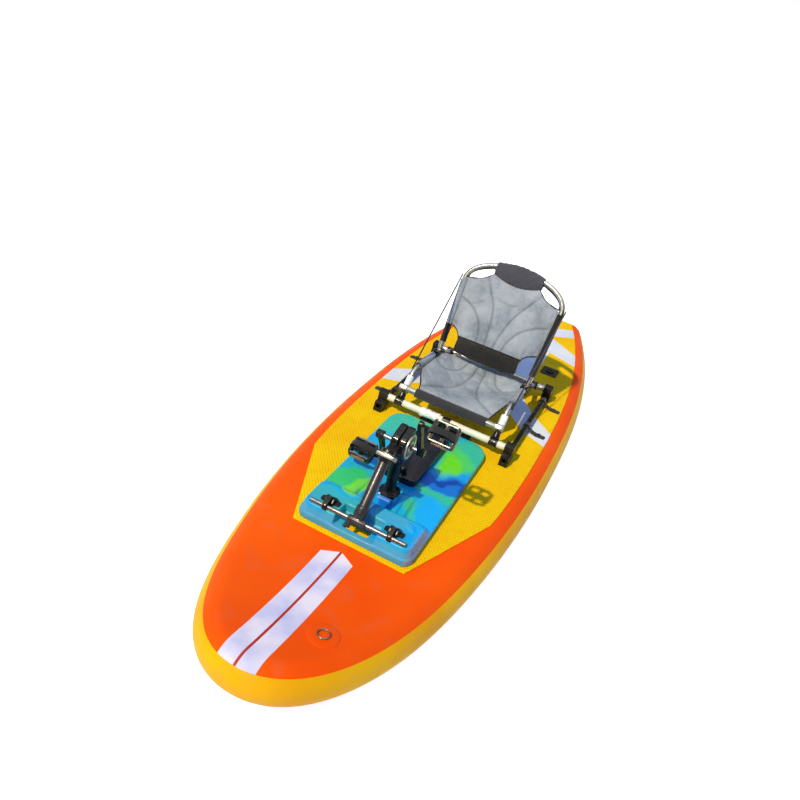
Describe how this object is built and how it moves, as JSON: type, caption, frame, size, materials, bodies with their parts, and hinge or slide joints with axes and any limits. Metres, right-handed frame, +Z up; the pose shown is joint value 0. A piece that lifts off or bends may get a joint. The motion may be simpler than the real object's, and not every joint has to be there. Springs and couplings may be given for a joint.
{
  "type": "inflatable pedal paddle board",
  "caption": "Inflatable paddle board with a foam deck, a pedal drive on a moulded plate over a well, a fold-up propeller leg, and a folding sling seat on a tube frame.",
  "frame": {"origin": "middle of the whole model's footprint, on the surface that the hull's flat bottom rests on", "axes": "+Y from the bow to the stern, +Z up, +X to the right as seen from in front of the bow, which is the side that the names call right"},
  "size_m": [0.86, 2.8, 0.6719],
  "materials": {
    "orange_hull_fabric": "coated drop-stitch fabric, satin",
    "yellow_rail_fabric": "coated fabric, satin",
    "yellow_deck_foam": "closed-cell foam sheet with a pressed grip pattern",
    "blue_green_moulding": "rotation-moulded, marbled, satin",
    "black_plastic": "moulded, satin",
    "black_alloy": "black anodised",
    "dark_grey_tube": "dark grey anodised",
    "bright_alloy": "plain bright alloy",
    "plain_steel": "plain stainless",
    "cream_white_tube": "cream-white coated tube",
    "grey_seat_fabric": "woven seat fabric over thin padding",
    "black_webbing": "woven webbing and binding"
  },
  "bodies": {
    "root": {"hull_shell": "orange_hull_fabric", "rail_band": "yellow_rail_fabric", "deck_pad": "yellow_deck_foam", "well_liner": "black_plastic", "valve_body": "black_plastic", "drive_plate": "blue_green_moulding", "trunk_cover": "black_plastic", "cross_rod": "plain_steel", "latch_base_left": "black_plastic", "latch_base_right": "black_plastic", "support_pole": "dark_grey_tube", "head_clamp": "black_plastic", "gear_case_left": "black_plastic", "gear_case_right": "black_plastic", "side_cover": "bright_alloy", "drive_column": "black_alloy", "seat_rail_left": "black_alloy", "seat_rail_right": "black_alloy", "corner_clamp_front_left": "black_plastic", "corner_clamp_front_right": "black_plastic", "corner_clamp_rear_left": "black_plastic", "corner_clamp_rear_right": "black_plastic", "front_crossbar": "cream_white_tube", "rear_crossbar": "bright_alloy", "middle_clamp": "black_plastic", "seat_side_tube_left": "bright_alloy", "seat_side_tube_right": "bright_alloy", "rear_leg_left": "bright_alloy", "rear_leg_right": "bright_alloy", "front_tube": "bright_alloy", "front_sleeve": "black_webbing", "hinge_bracket_left": "dark_grey_tube", "hinge_bracket_right": "dark_grey_tube", "seat_pad": "grey_seat_fabric", "side_strap_left": "black_webbing", "side_strap_right": "black_webbing", "tie_down_front_left": "black_webbing", "tie_down_rear_left": "black_webbing", "tie_down_front_right": "black_webbing", "tie_down_rear_right": "black_webbing"},
    "crankset": {"crank_spindle": "plain_steel", "crank_arm_left": "black_alloy", "crank_arm_right": "black_alloy"},
    "left_pedal": {"pedal_left": "black_plastic", "toe_strap_left": "black_webbing"},
    "right_pedal": {"pedal_right": "black_plastic", "toe_strap_right": "black_webbing"},
    "upper_shaft": {"upper_shaft": "plain_steel"},
    "leg": {"leg_shell": "black_plastic", "pod_cap": "black_plastic"},
    "lower_shaft": {"lower_shaft": "plain_steel"},
    "prop": {"prop_shaft": "plain_steel", "propeller": "black_plastic"},
    "left_latch": {"latch_lever_left": "black_plastic"},
    "right_latch": {"latch_lever_right": "black_plastic"},
    "cam": {"cam_lever": "bright_alloy"},
    "seat_back": {"back_frame": "bright_alloy", "head_pillow": "black_webbing", "back_pad": "grey_seat_fabric"},
    "valve_cap": {"valve_cap": "black_plastic"}
  },
  "joints": [
    {"name": "crank_spin", "type": "hinge", "parent": "root", "child": "crankset", "pos_m": [0, -0.54, 0.378], "axis": [1, 0, 0], "continuous": true},
    {"name": "left_pedal_spin", "type": "hinge", "parent": "crankset", "child": "left_pedal", "pos_m": [-0.143, -0.47899, 0.24097], "axis": [1, 0, 0], "continuous": true},
    {"name": "right_pedal_spin", "type": "hinge", "parent": "crankset", "child": "right_pedal", "pos_m": [0.143, -0.60101, 0.51503], "axis": [1, 0, 0], "continuous": true},
    {"name": "upper_shaft_spin", "type": "hinge", "parent": "root", "child": "upper_shaft", "pos_m": [0, -0.54, 0.25], "axis": [0, 0, 1], "continuous": true},
    {"name": "leg_fold", "type": "hinge", "parent": "root", "child": "leg", "pos_m": [0, -0.54, 0.105], "axis": [1, 0, 0], "range_deg": [-90, 0]},
    {"name": "lower_shaft_spin", "type": "hinge", "parent": "leg", "child": "lower_shaft", "pos_m": [0, -0.4, 0.105], "axis": [0, -1, 0], "continuous": true},
    {"name": "prop_spin", "type": "hinge", "parent": "leg", "child": "prop", "pos_m": [0, -0.27, 0.06], "axis": [0, 0, 1], "continuous": true},
    {"name": "rod_latch_left", "type": "hinge", "parent": "root", "child": "left_latch", "pos_m": [-0.111, -0.744, 0.2275], "axis": [1, 0, 0], "range_deg": [-100, 0]},
    {"name": "rod_latch_right", "type": "hinge", "parent": "root", "child": "right_latch", "pos_m": [0.111, -0.744, 0.2275], "axis": [1, 0, 0], "range_deg": [-100, 0]},
    {"name": "quick_release", "type": "hinge", "parent": "root", "child": "cam", "pos_m": [0.0335, -0.65965, 0.4007], "axis": [0, 0.6071, 0.7946], "range_deg": [0, 150]},
    {"name": "back_fold", "type": "hinge", "parent": "root", "child": "seat_back", "pos_m": [0, 0.28, 0.287], "axis": [1, 0, 0], "range_deg": [0, 70], "deforming": ["side_strap_left", "side_strap_right"]},
    {"name": "valve_cap_turn", "type": "hinge", "parent": "root", "child": "valve_cap", "pos_m": [0.21, 0.72, 0.16], "axis": [0, 0, 1], "range_deg": [0, 90]}
  ],
  "couplings": [
    {"joint": "upper_shaft_spin", "follows": "crank_spin", "ratio": 4},
    {"joint": "lower_shaft_spin", "follows": "crank_spin", "ratio": 4},
    {"joint": "prop_spin", "follows": "crank_spin", "ratio": 8}
  ]
}
